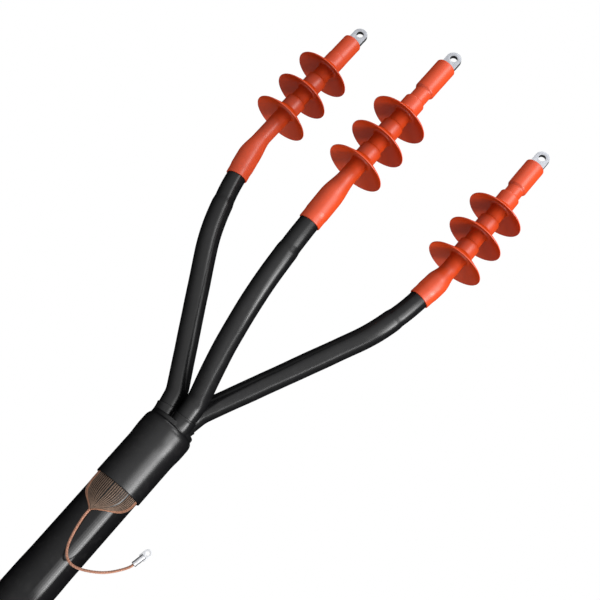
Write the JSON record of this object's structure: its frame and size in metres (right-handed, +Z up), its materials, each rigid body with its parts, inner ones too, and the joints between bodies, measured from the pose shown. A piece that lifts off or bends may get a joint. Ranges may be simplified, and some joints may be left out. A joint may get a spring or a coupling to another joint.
{
  "type": "cable termination",
  "caption": "Outdoor heat-shrink cable termination: a black breakout boot parts the cable into splayed cores with skirted red tubes and terminal lugs, and a copper earth lead",
  "frame": {"origin": "centre of the cable's lower cut face", "axes": "+Z up the cable, +X to the right and -Y to the front as the picture shows it"},
  "size_m": [0.399, 0.2089, 0.9707],
  "materials": {
    "sheath_black": "smooth satin black jacket",
    "boot_black": "satin black heat-shrink moulding",
    "tube_black": "satin black heat-shrink tube",
    "red_polymer": "satin orange-red heat-shrink polymer",
    "screen_copper": "bare copper strand",
    "lug_metal": "tinned terminal lug",
    "tinned_metal": "tinned crimp lug",
    "conductor_metal": "stranded conductor",
    "insulation_white": "smooth cross-linked insulation",
    "semicon_black": "matt black conductive polymer",
    "bedding_grey": "soft extruded bedding",
    "sealing_mastic": "tacky sealing mastic",
    "stress_mastic": "yellow stress grading mastic",
    "red_mastic": "red sealing mastic"
  },
  "bodies": {
    "root": {"cable_sheath": "sheath_black", "wire_screen": "screen_copper", "screen_wires": "screen_copper", "wire_gather": "screen_copper", "earth_lead": "screen_copper", "bedding": "bedding_grey", "breakout_boot": "boot_black", "boot_mastic": "sealing_mastic", "crotch_filler": "sealing_mastic", "conductor_1": "conductor_metal", "insulation_1": "insulation_white", "semicon_layer_1": "semicon_black", "stress_tube_1": "semicon_black", "copper_screen_1": "screen_copper", "core_tube_1": "tube_black", "stress_mastic_1": "stress_mastic", "red_tube_1": "red_polymer", "lower_skirt_1": "red_polymer", "middle_skirt_1": "red_polymer", "upper_skirt_1": "red_polymer", "lug_mastic_1": "red_mastic", "lug_1": "lug_metal", "conductor_2": "conductor_metal", "insulation_2": "insulation_white", "semicon_layer_2": "semicon_black", "stress_tube_2": "semicon_black", "copper_screen_2": "screen_copper", "core_tube_2": "tube_black", "stress_mastic_2": "stress_mastic", "red_tube_2": "red_polymer", "lower_skirt_2": "red_polymer", "middle_skirt_2": "red_polymer", "upper_skirt_2": "red_polymer", "lug_mastic_2": "red_mastic", "lug_2": "lug_metal", "conductor_3": "conductor_metal", "insulation_3": "insulation_white", "semicon_layer_3": "semicon_black", "stress_tube_3": "semicon_black", "copper_screen_3": "screen_copper", "core_tube_3": "tube_black", "stress_mastic_3": "stress_mastic", "red_tube_3": "red_polymer", "lower_skirt_3": "red_polymer", "middle_skirt_3": "red_polymer", "upper_skirt_3": "red_polymer", "lug_mastic_3": "red_mastic", "lug_3": "lug_metal", "earth_lug": "tinned_metal"}
  },
  "joints": []
}
